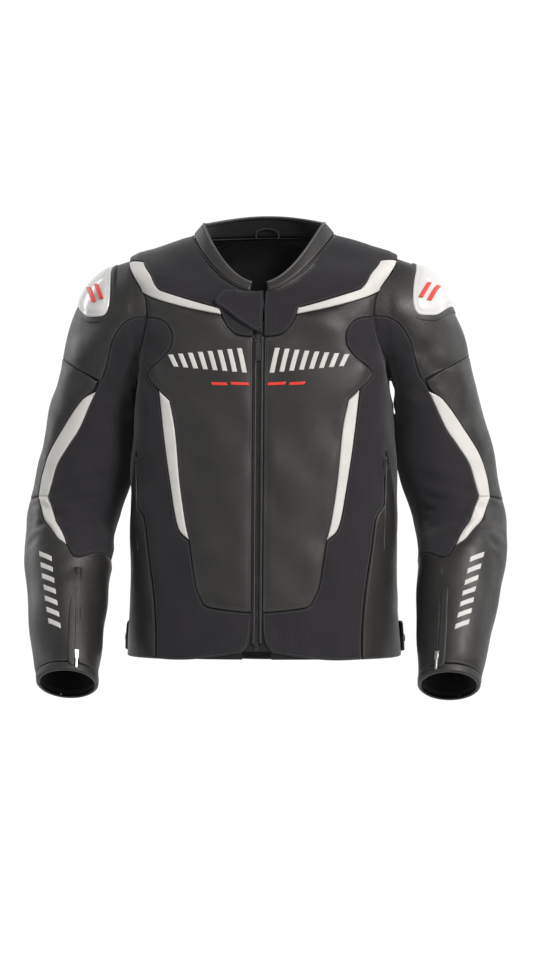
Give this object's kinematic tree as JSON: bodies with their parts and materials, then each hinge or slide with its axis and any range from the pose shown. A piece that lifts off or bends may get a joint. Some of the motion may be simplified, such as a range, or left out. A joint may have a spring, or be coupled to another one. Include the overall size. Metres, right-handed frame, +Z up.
{
  "type": "leather riding jacket",
  "caption": "Zip-front riding jacket of black leather and stretch textile with white inserts, hard shoulder cups, bent sleeves and hidden armour.",
  "frame": {"origin": "top of the hanger loop inside the centre of the back neck", "axes": "+Z up, the front faces -Y, +X towards the wearer's left sleeve"},
  "size_m": [0.6482, 0.283, 0.6461],
  "materials": {
    "black_leather": "fine grain, slightly glossy",
    "stretch_textile": "matt ribbed weave",
    "white_leather": "fine grain, satin",
    "hard_shell": "moulded, satin gloss",
    "lining_cloth": "smooth mesh lining",
    "zip_tape": "woven tape with moulded teeth",
    "zip_metal": "dull nickel",
    "armour_foam": "matt moulded foam"
  },
  "bodies": {
    "body": {"front_leather_left": "black_leather", "front_leather_right": "black_leather", "side_stripe_left": "white_leather", "side_stripe_right": "white_leather", "flank_textile_left": "stretch_textile", "flank_textile_right": "stretch_textile", "side_panel_left": "black_leather", "side_panel_right": "black_leather", "chest_stripe_left": "white_leather", "chest_stripe_right": "white_leather", "yoke_left": "stretch_textile", "yoke_right": "stretch_textile", "back_upper": "black_leather", "back_middle": "black_leather", "back_stretch": "stretch_textile", "back_lower": "black_leather", "hem_back": "black_leather", "body_lining": "lining_cloth", "collar": "black_leather", "hanger_loop": "lining_cloth", "zip_tape_left": "zip_tape", "zip_tape_right": "zip_tape", "pocket_zip_left": "zip_tape", "pocket_zip_right": "zip_tape", "trouser_zip": "zip_tape", "back_protector": "armour_foam"},
    "upper_arm_left": {"sleeve_leather_left": "black_leather", "sleeve_textile_left": "stretch_textile", "sleeve_stripe_left": "white_leather", "elbow_gusset_left": "stretch_textile", "shoulder_slider_left": "hard_shell", "shoulder_armour_left": "armour_foam"},
    "lower_arm_left": {"forearm_left": "black_leather", "cuff_left": "black_leather", "cuff_zip_left": "zip_tape", "forearm_stripe_left": "white_leather", "elbow_armour_left": "armour_foam"},
    "cuff_pull_left": {"cuff_slider_left": "zip_metal"},
    "pocket_pull_left": {"pocket_slider_left": "zip_metal"},
    "waist_strap_left": {"waist_tab_left": "stretch_textile"},
    "upper_arm_right": {"sleeve_leather_right": "black_leather", "sleeve_textile_right": "stretch_textile", "sleeve_stripe_right": "white_leather", "elbow_gusset_right": "stretch_textile", "shoulder_slider_right": "hard_shell", "shoulder_armour_right": "armour_foam"},
    "lower_arm_right": {"forearm_right": "black_leather", "cuff_right": "black_leather", "cuff_zip_right": "zip_tape", "forearm_stripe_right": "white_leather", "elbow_armour_right": "armour_foam"},
    "cuff_pull_right": {"cuff_slider_right": "zip_metal"},
    "pocket_pull_right": {"pocket_slider_right": "zip_metal"},
    "waist_strap_right": {"waist_tab_right": "stretch_textile"},
    "main_slider": {"zip_slider": "zip_metal"},
    "main_puller": {"zip_puller": "zip_metal"},
    "flap": {"neck_flap": "stretch_textile"}
  },
  "joints": [
    {"name": "shoulder_swing_left", "type": "hinge", "parent": "body", "child": "upper_arm_left", "pos_m": [0.168, -0.0385, -0.126], "axis": [-1, 0, 0], "range_deg": [-20, 60]},
    {"name": "elbow_bend_left", "type": "hinge", "parent": "upper_arm_left", "child": "lower_arm_left", "pos_m": [0.263, -0.0375, -0.404], "axis": [-1, 0, 0], "range_deg": [-25, 45], "deforming": ["elbow_gusset_left"]},
    {"name": "cuff_zip_slide_left", "type": "slide", "parent": "lower_arm_left", "child": "cuff_pull_left", "axis": [0.0405, 0.4631, 0.8854], "range_m": [0, 0.115]},
    {"name": "pocket_zip_slide_left", "type": "slide", "parent": "body", "child": "pocket_pull_left", "axis": [-0.0418, -0.0313, -0.9986], "range_m": [0, 0.085]},
    {"name": "waist_strap_lift_left", "type": "hinge", "parent": "body", "child": "waist_strap_left", "pos_m": [0.16516, 0.00115, -0.55452], "axis": [0, 0, 1], "range_deg": [0, 28]},
    {"name": "shoulder_swing_right", "type": "hinge", "parent": "body", "child": "upper_arm_right", "pos_m": [-0.168, -0.0385, -0.126], "axis": [-1, 0, 0], "range_deg": [-20, 60]},
    {"name": "elbow_bend_right", "type": "hinge", "parent": "upper_arm_right", "child": "lower_arm_right", "pos_m": [-0.263, -0.0375, -0.404], "axis": [-1, 0, 0], "range_deg": [-25, 45], "deforming": ["elbow_gusset_right"]},
    {"name": "cuff_zip_slide_right", "type": "slide", "parent": "lower_arm_right", "child": "cuff_pull_right", "axis": [-0.0405, 0.4631, 0.8854], "range_m": [0, 0.115]},
    {"name": "pocket_zip_slide_right", "type": "slide", "parent": "body", "child": "pocket_pull_right", "axis": [0.0418, -0.0313, -0.9986], "range_m": [0, 0.085]},
    {"name": "waist_strap_lift_right", "type": "hinge", "parent": "body", "child": "waist_strap_right", "pos_m": [-0.16516, 0.00115, -0.55452], "axis": [0, 0, -1], "range_deg": [0, 28]},
    {"name": "main_zip_slide", "type": "slide", "parent": "body", "child": "main_slider", "axis": [0, -0.0797, -0.9968], "range_m": [0, 0.395]},
    {"name": "main_puller_swing", "type": "hinge", "parent": "main_slider", "child": "main_puller", "pos_m": [0, -0.14941, -0.15489], "axis": [-1, 0, 0], "range_deg": [0, 150]},
    {"name": "neck_flap_open", "type": "hinge", "parent": "body", "child": "flap", "pos_m": [0.006, -0.14788, -0.11683], "axis": [0, 0.0797, 0.9968], "range_deg": [0, 150]}
  ]
}
